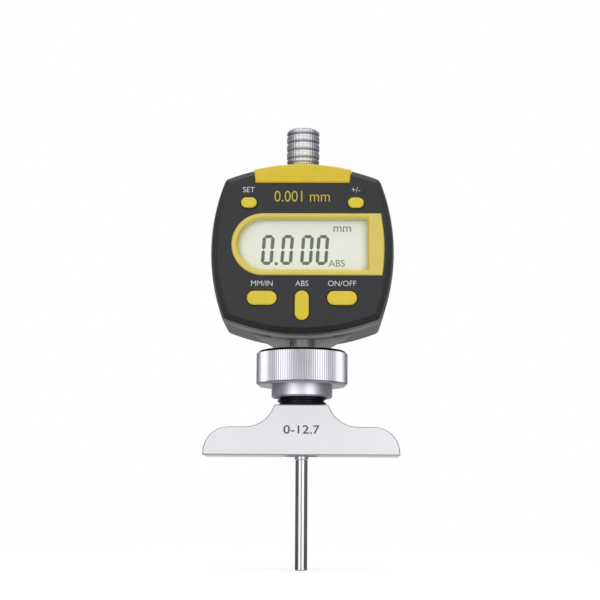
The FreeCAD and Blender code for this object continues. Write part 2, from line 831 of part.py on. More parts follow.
def make_battery_cover():
    """The yellow cover: a front tab, a lid over the battery slot and two side walls that guide it."""
    body = new_body("battery_cover")
    front = f"({face} - cover_proud)"
    rear = battery_rear
    # The front view of the cover ends in the head's own top arc.
    top_centre = f"({bezel_top} - end_arc_radius)"

    def top_outline(sketch, grow):
        radius = f"(end_arc_radius + {grow})"
        height = f"{top_centre} + sqrt({radius}^2 - {cover_wide}^2)"
        draw_path(sketch, [
            ("-cover_half_width", cover_bottom),
            ("cover_half_width", cover_bottom),
            (cover_wide, height, radius, 1),
            (f"-{cover_wide}", height),
        ])

    sketch = upright_sketch(body, board_rear)
    top_outline(sketch, "0")
    blank = pad(body, sketch, f"{board_rear} - {front}")
    edged = dress(body, "Chamfer", blank, edges_where(blank, at_depth(front)), "cover_edge")
    body.Tip = edged
    lid = upright_sketch(body, board_rear)
    top_outline(lid, "housing_margin")
    pad(body, lid, f"{rear} - {board_rear}", backwards=True)
    inside = upright_sketch(body, rear)
    inner = "(cover_half_width - cover_wall)"
    radius = "(end_arc_radius - cover_wall)"
    height = f"{top_centre} + sqrt({radius}^2 - {inner}^2)"
    draw_path(inside, [
        (f"-{inner}", f"{cover_bottom} - overrun"),
        (inner, f"{cover_bottom} - overrun"),
        (inner, height, radius, 1),
        (f"-{inner}", height),
    ])
    pocket(body, inside, f"{rear} - {plate_rear}", along_normal=True)


def make_lcd_frame():
    """The gold display frame: a proud rim, a flange behind the bezel and a rebate for the lens."""
    body = new_body("lcd_frame")
    rim = upright_sketch(body, plate_rear)
    draw_frame(rim, "0")
    blank = pad(body, rim, f"{plate_rear} - {frame_front}")
    edged = dress(body, "Chamfer", blank, edges_where(blank, at_depth(frame_front)), "frame_edge")
    body.Tip = edged
    flange = upright_sketch(body, plate_rear)
    draw_frame(flange, "frame_flange_margin")
    pad(body, flange, "frame_flange", backwards=True)
    opening = upright_sketch(body, frame_front)
    draw_window(opening, "0")
    holed = pocket(body, opening, f"{frame_rear} - {frame_front}")
    opening_edges = edges_where(holed, lambda edge: at_depth(frame_front)(edge) and inside_window(edge))
    body.Tip = dress(body, "Chamfer", holed, opening_edges, "window_bevel")
    rebate = upright_sketch(body, frame_rear)
    draw_window(rebate, "lens_margin")
    pocket(body, rebate, f"{frame_rear} - {lens_front}", along_normal=True)


def make_display_window():
    """The clear lens in the frame's rebate."""
    body = new_body("display_window")
    lens_rear = f"({frame_rear} - lens_gap)"
    sketch = upright_sketch(body, lens_rear)
    draw_window(sketch, "lens_margin - press_play")
    pad(body, sketch, f"{lens_rear} - {lens_front}")


def make_button(name, x, rise, length, width, upright):
    """A button: rounded cap through the bezel, retaining flange and a post for its switch dome."""
    body = new_body(name)
    z = f"({head_centre} + {rise})"
    flange_front = f"({plate_rear} + button_rest_gap)"
    front = f"({face} - button_proud)"
    cap = upright_sketch(body, flange_front)
    draw_pill(cap, x, z, length, width, upright)
    blank = pad(body, cap, f"{flange_front} - {front}")
    rounded = dress(body, "Fillet", blank, edges_where(blank, at_depth(front)), "button_round")
    body.Tip = rounded
    flange = upright_sketch(body, flange_front)
    draw_pill(flange, x, z, length, width, upright, "button_flange_margin")
    pad(body, flange, "button_flange", backwards=True)
    post = upright_sketch(body, f"{flange_front} + button_flange")
    draw_circle(post, x, z, "button_post_radius")
    reach = f"{board_front} - dome_thick - button_travel - button_spare"
    pad(body, post, f"{reach} - {flange_front} - button_flange", backwards=True)


def make_switch_domes():
    """One snap dome on the board under each button."""
    domes = []
    for x, rise, *sides in BUTTONS.values():
        domes.append(cylinder("dome_radius", "dome_thick", x, f"{board_front} - dome_thick",
                              f"{head_centre} + {rise}", along="Y"))
    node(group(domes), "switch_domes")


def make_lcd_panel():
    """The liquid crystal glass behind the lens."""
    panel = block("-panel_width / 2", "panel_width / 2", frame_rear, panel_rear,
                  f"{frame_centre} - panel_height / 2", f"{frame_centre} + panel_height / 2")
    node(panel, "lcd_panel")


def make_connector_strips():
    """The two conductive rubber strips between the glass and the board."""
    strips = []
    low = f"({frame_centre} - panel_height / 2)"
    high = f"({frame_centre} + panel_height / 2 - strip_height)"
    strips.append(block("-strip_length / 2", "strip_length / 2", panel_rear, board_front,
                        low, f"{low} + strip_height"))
    for side in (-1, 1):
        inner = f"({side} * (battery_radius + battery_play + contact_foot))"
        outer = f"({side} * strip_length / 2)"
        left, right = (outer, inner) if side < 0 else (inner, outer)
        strips.append(block(left, right, panel_rear, board_front, high, f"{high} + strip_height"))
    node(group(strips), "connector_strips")


def make_circuit_board():
    """The main board, cut away round the battery and clamped at its four corner holes."""
    body = new_body("circuit_board")
    sketch = upright_sketch(body, board_rear)
    draw_head(sketch, "(bezel_wall + board_play)")
    pad(body, sketch, "board_thick")
    notch = upright_sketch(body, board_front)
    half = "(battery_radius + battery_play)"
    draw_box(notch, f"-{half}", f"{battery_centre} - {half}", half, f"{bezel_top} + overrun")
    pocket(body, notch, "board_thick + overrun")
    room = upright_sketch(body, board_front)
    draw_cover_room(room, "cover_play + board_play")
    pocket(body, room, "board_thick + overrun")
    holes = upright_sketch(body, board_front)
    for side, end in CORNER_SIGNS:
        draw_circle(holes, f"{side} * {post_x}", f"{head_centre} + {end} * {post_z}",
                    "screw_radius + seat_play")
    pocket(body, holes, "board_thick + overrun")


def make_board_chips():
    """The measuring chip and the processor on the back of the board."""
    chips = []
    for side in (-1, 1):
        x = f"({side} * chip_offset)"
        z = f"({head_centre} - chip_drop)"
        chips.append(block(f"{x} - chip_side / 2", f"{x} + chip_side / 2", board_rear,
                           f"{board_rear} + chip_thick", f"{z} - chip_side / 2", f"{z} + chip_side / 2"))
    node(group(chips), "board_chips")


def make_reading_head():
    """The pick-up plate that faces the moving scale."""
    plate = block("-head_board_half_width", "head_board_half_width", board_rear,
                  "-guide_front - scale_thick - scale_gap", head_board_bottom,
                  f"{head_board_bottom} + head_board_height")
    node(plate, "reading_head")


def make_battery():
    """The coin cell, on edge below the yellow cover; its smaller face is the negative pole."""
    can = cylinder("battery_radius", "battery_thick - contact_thick", "0",
                   f"{battery_front} + contact_thick", battery_centre, along="Y")
    pole = cylinder("battery_pole_radius", "contact_thick", "0",
                    battery_front, battery_centre, along="Y")
    node(fused([can, pole]), "battery")


def make_battery_contacts():
    """The negative leaf in front of the cell and the positive leaf against its rim."""
    half = "(battery_radius + battery_play)"
    low = f"({battery_centre} - contact_width / 2)"
    high = f"({battery_centre} + contact_width / 2)"
    leaf = block(f"-{half} - contact_foot", f"-{half} + contact_reach",
                 f"{battery_front} - contact_thick", battery_front, low, high)
    foot = block(f"-{half} - contact_foot", f"-{half}",
                 f"{battery_front} - contact_thick", board_front, low, high)
    rim_leaf = block("battery_radius + press_play", half, board_front, battery_rear, low, high)
    node(group([fused([leaf, foot]), rim_leaf]), "battery_contacts")


def make_back_cover():
    """The flat back plate, let into the housing, with four sunk screw heads."""
    body = new_body("back_cover")
    sketch = upright_sketch(body, back)
    draw_head(sketch, f"({back_outline} + seat_play)")
    pad(body, sketch, "back_cover_thick")
    sinks = upright_sketch(body, back)
    for side, end in CORNER_SIGNS:
        draw_circle(sinks, f"{side} * {cover_screw_x}", f"{head_centre} + {end} * cover_screw_rise",
                    "screw_head_radius + seat_play")
    pocket(body, sinks, "screw_head_height", along_normal=True)
    holes = upright_sketch(body, back)
    for side, end in CORNER_SIGNS:
        draw_circle(holes, f"{side} * {cover_screw_x}", f"{head_centre} + {end} * cover_screw_rise",
                    "screw_radius + seat_play")
    pocket(body, holes, "back_cover_thick + overrun", along_normal=True)


def make_back_gasket():
    """The flat seal between the housing's ledge and the back plate."""
    body = new_body("back_gasket")
    sketch = upright_sketch(body, cover_front)
    draw_head(sketch, f"({back_outline} + seat_play)")
    pad(body, sketch, "gasket_thick")
    window = upright_sketch(body, cover_front)
    draw_head(window, web_outline)
    pocket(body, window, "gasket_thick + overrun", along_normal=True)
    holes = upright_sketch(body, cover_front)
    for side, end in CORNER_SIGNS:
        draw_circle(holes, f"{side} * {cover_screw_x}", f"{head_centre} + {end} * cover_screw_rise",
                    "screw_radius + seat_play")
        draw_circle(holes, f"{side} * {post_x}", f"{head_centre} + {end} * {post_z}",
                    "screw_head_radius + seat_play")
    pocket(body, holes, "gasket_thick + overrun", along_normal=True)


def screw(x, z, head_front, length):
    """A slotted screw driven from behind, its shank pointing forward."""
    head = cylinder("screw_head_radius", "screw_head_height", x, head_front, z, along="Y")
    shank = cylinder("screw_radius", length, x, f"{head_front} - {length}", z, along="Y")
    head_rear = f"({head_front} + screw_head_height)"
    slot = block(f"{x} - screw_head_radius - overrun", f"{x} + screw_head_radius + overrun",
                 f"{head_rear} - driver_slot_depth", f"{head_rear} + overrun",
                 f"{z} - driver_slot_width / 2", f"{z} + driver_slot_width / 2")
    return cut_from(fused([head, shank]), slot)


def make_screws():
    """Four screws hold the back plate and four, deep in the housing's posts, hold the bezel."""
    back_screws = []
    bezel_screws = []
    for side, end in CORNER_SIGNS:
        back_screws.append(screw(f"({side} * {cover_screw_x})", f"({head_centre} + {end} * cover_screw_rise)",
                                 f"({back} - screw_head_height)", "cover_screw_length"))
        bezel_screws.append(screw(f"({side} * {post_x})", f"({head_centre} + {end} * {post_z})",
                                  screw_floor, "bezel_screw_length"))
    node(group(back_screws), "back_cover_screws")
    node(group(bezel_screws), "bezel_screws")


def make_stem():
    """The 8 mm clamping stem, pressed in the housing's boss."""
    body = new_body("stem")
    low = f"{stem_bottom} + seat_play"
    revolve(body, [
        ("stem_bore_radius", low),
        ("stem_radius - spindle_chamfer", low),
        ("stem_radius", f"{low} + spindle_chamfer"),
        ("stem_radius", stem_top),
        ("stem_bore_radius", stem_top),
    ])


def ring(name, inner, outer, low, high):
    """A plain sleeve about the spindle's axis."""
    body = new_body(name)
    revolve(body, [(inner, low), (outer, low), (outer, high), (inner, high)])


def make_sleeves():
    """The dust wiper, the two guide bushes and the rubber stop under the carrier."""
    low = f"({stem_bottom} + seat_play)"
    bush_low = f"({low} + wiper_length)"
    pressed = "stem_bore_radius - press_play"
    guide = "spindle_radius + running_play"
    ring("dust_wiper", "spindle_radius + wiper_play", pressed, low, bush_low)
    ring("lower_bush", guide, pressed, bush_low, f"{bush_low} + lower_bush_length")
    ring("upper_bush", guide, "upper_bush_radius", guide_top, housing_top)
    ring("stop_buffer", "stem_bore_radius", "stem_radius", stem_top, f"{stem_top} + buffer_length")


def make_spindle():
    """The ground spindle, tapped below for the rod and turned down above for the cap."""
    body = new_body("spindle")
    low = "(-spindle_below_base)"
    hole_top = f"({low} + rod_stud_length + seat_play)"
    revolve(body, [
        ("rod_stud_radius + press_play", low),
        ("spindle_radius - spindle_chamfer", low),
        ("spindle_radius", f"{low} + spindle_chamfer"),
        ("spindle_radius", cap_bottom),
        ("cap_stud_radius", cap_bottom),
        ("cap_stud_radius", f"{cap_bottom} + cap_stud_length"),
        ("0", f"{cap_bottom} + cap_stud_length"),
        ("0", hole_top),
        ("rod_stud_radius + press_play", hole_top),
    ])


def make_measuring_rod():
    """The screw-in depth rod with its rounded tip edge."""
    body = new_body("measuring_rod")
    top = "(-spindle_below_base)"
    tip = "(-rod_reach)"
    revolve(body, [
        ("0", tip),
        ("rod_radius - rod_tip_round", tip, "rod_tip_round", 1),
        ("rod_radius", f"{tip} + rod_tip_round"),
        ("rod_radius", top),
        ("rod_stud_radius", top),
        ("rod_stud_radius", f"{top} + rod_stud_length"),
        ("0", f"{top} + rod_stud_length"),
    ])


def make_lifting_cap():
    """The ringed cap on top, by which the spindle is lifted."""
    body = new_body("lifting_cap")
    top = f"({cap_bottom} + cap_height)"
    hole_top = f"{cap_bottom} + cap_stud_length + seat_play"
    grooves = []
    for index in range(int(value("ring_count")) - 1, -1, -1):
        middle = f"{top} - ring_first - {index} * ring_pitch"
        grooves += [
            ("cap_radius", f"{middle} - ring_half_width"),
            ("cap_radius - ring_depth", middle),
            ("cap_radius", f"{middle} + ring_half_width"),
        ]
    revolve(body, [
        ("cap_stud_radius + press_play", cap_bottom),
        ("cap_radius - cap_chamfer", cap_bottom),
        *grooves,
        ("cap_radius", f"{top} - cap_chamfer"),
        ("cap_radius - cap_chamfer", top),
        ("0", top),
        ("0", hole_top),
        ("cap_stud_radius + press_play", hole_top),
    ])


def make_scale_carrier():
    """The block clamped on the spindle: it holds the scale and its fork runs on the rail."""
    body = new_body("scale_carrier")
    sketch = level_sketch(body, carrier_bottom)
    draw_box(sketch, "-carrier_half_width", "-guide_front", "carrier_half_width", "carrier_rear")
    pad(body, sketch, "carrier_height")
    bore = level_sketch(body, carrier_top)
    draw_circle(bore, "0", "0", "spindle_radius + press_play")
    pocket(body, bore, "carrier_height")
    fork = level_sketch(body, carrier_top)
    half = "(rail_radius + running_play)"
    draw_box(fork, f"-{half}", "rail_slot_front", half, "carrier_rear + overrun")
    pocket(body, fork, "carrier_height")
    tapped = sketch_on(body, "YZ_Plane", "carrier_half_width")
    draw_circle(tapped, "0", f"{carrier_bottom} + carrier_height / 2", "set_screw_radius + press_play")
    pocket(body, tapped, "carrier_half_width")
    screw_start = "(spindle_radius + press_play)"
    set_screw = cylinder("set_screw_radius", f"carrier_half_width - {screw_start}", screw_start, "0",
                         f"{carrier_bottom} + carrier_height / 2", along="X")
    node(set_screw, "carrier_set_screw")


def make_scale_strip():
    """The measuring scale on the front of the carrier."""
    strip = block("-scale_half_width", "scale_half_width", "-guide_front - scale_thick", "-guide_front",
                  carrier_bottom, carrier_top)
    node(strip, "scale_strip")


def make_guide_rail():
    """The pin that keeps the carrier from turning, held in both guide blocks."""
    low = f"({stem_top} - rail_hold)"
    high = f"({guide_top} + rail_hold)"
    node(cylinder("rail_radius", f"{high} - {low}", "0", "rail_offset", low), "guide_rail")


def make_return_spring():
    """The coil spring round the spindle, between the carrier and the upper guide, as tilted half turns."""
    low = value(f"{carrier_top} + spring_wire_radius + seat_play / 2")
    high = value(f"{guide_top} - spring_wire_radius - seat_play / 2")
    half_turn_count = int(value("spring_turn_count")) * 2
    rise = (high - low) / half_turn_count
    radius = value("spring_radius")
    half_turns = []
    for index in range(half_turn_count):
        side = 1 if index % 2 == 0 else -1
        height = low + index * rise
        start = FreeCAD.Vector(side * radius, 0, height)
        middle = FreeCAD.Vector(0, side * math.hypot(radius, rise / 2), height + rise / 2)
        end = FreeCAD.Vector(-side * radius, 0, height + rise)
        half_turns.append(Part.Arc(start, middle, end).toShape())
    wire_radius = value("spring_wire_radius")
    side_count = int(value("spring_wire_side_count"))
    corners = []
    for index in range(side_count + 1):
        angle = 2 * math.pi * index / side_count
        corners.append(FreeCAD.Vector(radius + wire_radius * math.cos(angle), 0,
                                      low + wire_radius * math.sin(angle)))
    pipe = Part.BRepOffsetAPI.MakePipeShell(Part.Wire(half_turns))
    pipe.add(Part.makePolygon(corners))
    pipe.build()
    pipe.makeSolid()
    spring = doc.addObject("Part::Feature", "return_spring")
    spring.Shape = pipe.shape()
    node(spring, "return_spring")


make_depth_base()
make_collet_bush()
make_clamp_nut()
make_rear_housing()
make_front_bezel()
make_battery_cover()
make_lcd_frame()
make_display_window()
for button, places in BUTTONS.items():
    make_button(button, *places)
make_switch_domes()
make_lcd_panel()
make_connector_strips()
make_circuit_board()
make_board_chips()
make_reading_head()
make_battery()
make_battery_contacts()
make_back_cover()
make_back_gasket()
make_screws()
make_stem()
make_sleeves()
make_spindle()
make_measuring_rod()
make_lifting_cap()
make_scale_carrier()
make_scale_strip()
make_guide_rail()
make_return_spring()
doc.recompute()

for thing in doc.Objects:
    if "Invalid" in thing.State or "Error" in thing.State:
        raise ValueError(f"{thing.Label} failed: {thing.State}")
os.makedirs("parts", exist_ok=True)
for thing in nodes:
    shape = thing.Shape
    if shape.isNull() or not shape.isValid() or not shape.Solids:
        raise ValueError(f"{thing.Label} has no valid solid")
    shape.exportStep(f"parts/{thing.Label}.step")
    print(f"{thing.Label}: {len(shape.Solids)} solid(s), {shape.Volume:.1f} cubic mm")
print(len(nodes), "nodes")
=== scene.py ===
import json
import math

import bmesh
import bpy
from mathutils import Euler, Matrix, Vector


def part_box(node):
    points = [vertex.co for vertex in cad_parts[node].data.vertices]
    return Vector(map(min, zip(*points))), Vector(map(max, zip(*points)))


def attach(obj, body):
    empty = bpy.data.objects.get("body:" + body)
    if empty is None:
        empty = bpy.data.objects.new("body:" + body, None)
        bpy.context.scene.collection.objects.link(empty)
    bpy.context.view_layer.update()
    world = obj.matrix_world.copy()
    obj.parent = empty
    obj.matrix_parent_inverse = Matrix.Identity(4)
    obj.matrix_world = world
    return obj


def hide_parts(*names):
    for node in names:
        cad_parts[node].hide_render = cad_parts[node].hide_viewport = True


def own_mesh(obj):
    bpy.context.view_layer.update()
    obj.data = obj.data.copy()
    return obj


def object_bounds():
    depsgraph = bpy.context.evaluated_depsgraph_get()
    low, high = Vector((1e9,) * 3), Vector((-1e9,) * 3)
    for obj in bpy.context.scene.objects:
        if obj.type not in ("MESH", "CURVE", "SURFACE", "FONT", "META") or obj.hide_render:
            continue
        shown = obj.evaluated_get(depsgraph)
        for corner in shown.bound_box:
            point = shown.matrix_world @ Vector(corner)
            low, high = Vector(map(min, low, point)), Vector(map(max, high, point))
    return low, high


# Looks of a digital depth gauge. Lengths are millimetres times MM. The display faces -Y and +Z is up.
MM = 0.001

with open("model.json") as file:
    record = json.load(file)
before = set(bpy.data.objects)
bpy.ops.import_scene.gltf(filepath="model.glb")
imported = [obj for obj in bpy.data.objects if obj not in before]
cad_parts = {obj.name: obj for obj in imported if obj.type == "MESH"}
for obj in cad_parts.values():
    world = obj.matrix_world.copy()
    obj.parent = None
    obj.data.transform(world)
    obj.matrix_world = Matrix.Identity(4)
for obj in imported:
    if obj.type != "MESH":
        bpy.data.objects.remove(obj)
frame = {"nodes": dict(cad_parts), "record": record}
cad_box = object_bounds()
nodes = frame["nodes"]

# Places read from the frame. The display frame's middle stands a little above the head's.
FRAME_RISE = 1.2 * MM
FACE_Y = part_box("front_bezel")[0].y
BEZEL_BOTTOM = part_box("front_bezel")[0].z
FRAME_LOW, FRAME_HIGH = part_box("lcd_frame")
HEAD_CENTRE_Z = (FRAME_LOW.z + FRAME_HIGH.z) / 2 - FRAME_RISE
PANEL_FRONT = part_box("lcd_panel")[0].y
BASE_LOW, BASE_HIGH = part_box("depth_base")
BUSH_LOW, BUSH_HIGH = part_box("collet_bush")
NUT_LOW, NUT_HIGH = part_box("clamp_nut")
CAP_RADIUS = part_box("lifting_cap")[1].x

# The photograph's view: the camera stands a little below the display and looks up. Angles are in degrees,
# the lens and the sensor in plain millimetres.
CAMERA_DISTANCE = 446 * MM
CAMERA_ELEVATION = -9.2
CAMERA_AZIMUTH = 1.0
CAMERA_ROLL = 0.33
CAMERA_AIM = Vector((-0.8, 0, 51.6)) * MM
CAMERA_LENS = 80.5
CAMERA_NEAR = 10 * MM
CAMERA_FAR = 20000 * MM
SENSOR_WIDTH = 36

# Colours, as sRGB shares of full white.
GROUND_STEEL = (0.96, 0.96, 0.975)
POLISHED_STEEL = (0.80, 0.80, 0.81)
SATIN_STEEL = (0.56, 0.56, 0.55)
KNURL_STEEL = (0.92, 0.92, 0.95)
# Painted shade in the knurl's grooves.
KNURL_GROOVE_SHADE = (0.79, 0.79, 0.82)
CAP_STEEL = (0.85, 0.85, 0.89)
# Painted shade in the cap's grooves.
CAP_GROOVE_SHADE = (0.70, 0.70, 0.75)
# Painted shade on the base's chamfers.
CHAMFER_SHADE = (0.72, 0.72, 0.74)
# Painted shade on the nut's faces that look down.
NUT_UNDERSIDE_SHADE = (0.66, 0.66, 0.71)
SHADOW_BLACK = (0.05, 0.05, 0.05)
BLACK_OXIDE = (0.13, 0.13, 0.125)
GREY_PAINT = (0.45, 0.455, 0.455)
# Painted light on the casting's boss below the bezel.
BOSS_PAINTED_LIGHT = (0.70, 0.70, 0.70)
WALL_PAINT = (0.50, 0.50, 0.50)
DARK_PLASTIC = (0.185, 0.19, 0.195)
# Painted light on the bezel's slanted faces.
BEVEL_PAINTED_LIGHT = (0.225, 0.23, 0.23)
# Painted shade on the bezel's slanted faces that look down.
LOWER_BEVEL_SHADE = (0.13, 0.135, 0.135)
YELLOW_PLASTIC = (0.905, 0.785, 0.18)
YELLOW_BUTTON = (0.915, 0.815, 0.23)
# Painted shade on the buttons' sides in their holes.
BUTTON_GAP_SHADE = (0.16, 0.12, 0.07)
GOLD_PLASTIC = (0.91, 0.83, 0.42)
PANEL_GREY = (0.97, 0.985, 0.925)
SEGMENT_GREY = (0.34, 0.38, 0.34)
WHITE_INK = (0.90, 0.90, 0.90)
YELLOW_INK = (0.82, 0.74, 0.22)
GREY_INK = (0.25, 0.25, 0.27)
BOARD_GREEN = (0.11, 0.38, 0.20)
RUBBER = (0.13, 0.13, 0.13)
CHIP_BLACK = (0.10, 0.10, 0.11)
BRASS = (0.80, 0.66, 0.36)
NICKEL = (0.74, 0.73, 0.71)
ALUMINIUM = (0.76, 0.76, 0.77)
SCALE_AMBER = (0.72, 0.62, 0.42)
FLAG_GREY = (0.53, 0.53, 0.55)
FLOOR_GREY = (0.80, 0.80, 0.80)
WHITE = (1, 1, 1, 1)


def linear(color):
    """An sRGB colour as the scene-linear one that shaders take."""
    return tuple(c / 12.92 if c <= 0.04045 else ((c + 0.055) / 1.055) ** 2.4 for c in color) + (1.0,)


def shade(color, factor):
    """The same colour, lighter or darker."""
    return tuple(min(1.0, c * factor) for c in color)


def add_node(tree, kind, inputs=None, **settings):
    """A shader node with its settings made and its sockets set or linked."""
    made = tree.nodes.new(f"ShaderNode{kind}")
    for name, setting in settings.items():
        setattr(made, name, setting)
    for key, given in (inputs or {}).items():
        socket = made.inputs[key]
        if isinstance(given, bpy.types.NodeSocket):
            tree.links.new(given, socket)
        else:
            socket.default_value = given
    return made


def new_material(name):
    """A material made of nodes, with its tree and its surface node."""
    material = bpy.data.materials.new(name)
    material.use_nodes = True
    tree = material.node_tree
    return material, tree, tree.nodes["Principled BSDF"]


# The band of numbers that nearly all of a noise lies in.
NOISE_LOW = 0.25
NOISE_HIGH = 0.75


def speckle(tree, size, stretch=(1, 1, 1), detail=2.0):
    """Noise whose features are about a given size, or stretched into lines that run one way."""
    place = add_node(tree, "TexCoord").outputs["Object"]
    mapping = add_node(tree, "Mapping", {"Vector": place, "Scale": stretch}).outputs["Vector"]
    noise = add_node(tree, "TexNoise", {"Vector": mapping, "Scale": 1 / size, "Detail": detail})
    return noise.outputs["Fac"]


def spread(tree, noise, low, high):
    """Noise mapped to a narrow band of numbers."""
    return add_node(tree, "MapRange", {
        "Value": noise, "From Min": NOISE_LOW, "From Max": NOISE_HIGH, "To Min": low, "To Max": high,
    }).outputs["Result"]


def blend(tree, factor, first, second, kind):
    """Two colours or two numbers, mixed by a factor."""
    mixed = add_node(tree, "Mix", {"Factor": factor, "A": first, "B": second}, data_type=kind)
    return mixed.outputs["Result"]


def finish_of(name, color, roughness, *, metallic=0.0, specular=0.5, vary=0.03, vary_size=6 * MM,
              rough_spread=0.04, rough_size=1.5 * MM, grain_size=0.15 * MM, grain_stretch=(1, 1, 1),
              grain_depth=0.004 * MM, edge=0.08 * MM):
    """A surface with wandering tone and gloss, a fine grain and softened edges."""
    material, tree, surface = new_material(name)
    surface.inputs["Metallic"].default_value = metallic
    surface.inputs["Specular IOR Level"].default_value = specular
    wander = spread(tree, speckle(tree, vary_size), 0, 1)
    tone = blend(tree, wander, linear(shade(color, 1 - vary)), linear(shade(color, 1 + vary)), "RGBA")
    tree.links.new(tone, surface.inputs["Base Color"])
    gloss = spread(tree, speckle(tree, rough_size, grain_stretch),
                   roughness - rough_spread, roughness + rough_spread)
    tree.links.new(gloss, surface.inputs["Roughness"])
    rounded = add_node(tree, "Bevel", {"Radius": edge}, samples=4).outputs["Normal"]
    bump = add_node(tree, "Bump", {
        "Height": speckle(tree, grain_size, grain_stretch, detail=3.0), "Normal": rounded,
        "Strength": 1.0, "Distance": grain_depth})
    tree.links.new(bump.outputs["Normal"], surface.inputs["Normal"])
    return material


def calculate(tree, operation, *numbers, **settings):
    """The result of one arithmetic step on numbers or sockets."""
    return add_node(tree, "Math", dict(enumerate(numbers)), operation=operation, **settings).outputs["Value"]


def point_share(tree, axis):
    """One coordinate of the point in the frame."""
    place = add_node(tree, "TexCoord").outputs["Object"]
    return add_node(tree, "SeparateXYZ", {"Vector": place}).outputs[axis]


def reach_from_axis(tree):
    """The point's distance from the spindle's axis."""
    place = add_node(tree, "TexCoord").outputs["Object"]
    flat = add_node(tree, "VectorMath", {0: place, 1: (1, 1, 0)}, operation="MULTIPLY").outputs["Vector"]
    return add_node(tree, "VectorMath", {0: flat}, operation="LENGTH").outputs["Value"]


def facing(tree, axis):
    """How squarely the surface faces against an axis: 1 squarely, 0 edge on."""
    normal = add_node(tree, "TexCoord").outputs["Normal"]
    along = add_node(tree, "SeparateXYZ", {"Vector": normal}).outputs[axis]
    return calculate(tree, "MULTIPLY", along, -1.0)


def both(tree, first, second):
    """1 only where two masks are."""
    return calculate(tree, "MULTIPLY", first, second)


def ramp(tree, number, start, end):
    """0 at the start and 1 at the end, in a straight line between."""
    return add_node(tree, "MapRange", {
        "Value": number, "From Min": start, "From Max": end}).outputs["Result"]


def band(tree, number, low, high, soft):
    """1 between two bounds, with soft ends inside them."""
    return both(tree, ramp(tree, number, low, low + soft), ramp(tree, number, high, high - soft))


def tint_where(name, mask, color):
    """Give a material another colour where a mask, built in its own nodes, is 1."""
    tree = materials[name].node_tree
    base = tree.nodes["Principled BSDF"].inputs["Base Color"]
    tree.links.new(blend(tree, mask(tree), base.links[0].from_socket, linear(color), "RGBA"), base)


def roughen_where(name, mask, roughness):
    """Give a material another roughness where a mask is 1."""
    tree = materials[name].node_tree
    gloss = tree.nodes["Principled BSDF"].inputs["Roughness"]
    tree.links.new(blend(tree, mask(tree), gloss.links[0].from_socket, roughness, "FLOAT"), gloss)


def emboss(name, height, depth):
    """Give a material a relief under its own grain."""
    tree = materials[name].node_tree
    grain = tree.nodes["Principled BSDF"].inputs["Normal"].links[0].from_node
    relief = add_node(tree, "Bump", {
        "Height": height(tree), "Normal": grain.inputs["Normal"].links[0].from_socket,
        "Strength": 1.0, "Distance": depth})
    tree.links.new(relief.outputs["Normal"], grain.inputs["Normal"])


LENS_INDEX = 1.45
LENS_ROUGHNESS = (0.01, 0.03)
LENS_RIPPLE = 8 * MM


def clear_glass(name):
    """The hard clear lens: it mirrors the room a little and lets lamplight through to the display."""
    material, tree, surface = new_material(name)
    surface.inputs["Base Color"].default_value = WHITE
    surface.inputs["Transmission Weight"].default_value = 1.0
    surface.inputs["IOR"].default_value = LENS_INDEX
    gloss = spread(tree, speckle(tree, LENS_RIPPLE), *LENS_ROUGHNESS)
    tree.links.new(gloss, surface.inputs["Roughness"])
    passing = add_node(tree, "BsdfTransparent", {"Color": WHITE})
    through = add_node(tree, "LightPath").outputs["Is Shadow Ray"]
    mixed = add_node(tree, "MixShader", {0: through, 1: surface.outputs[0], 2: passing.outputs[0]})
    tree.links.new(mixed.outputs[0], tree.nodes["Material Output"].inputs["Surface"])
    return material


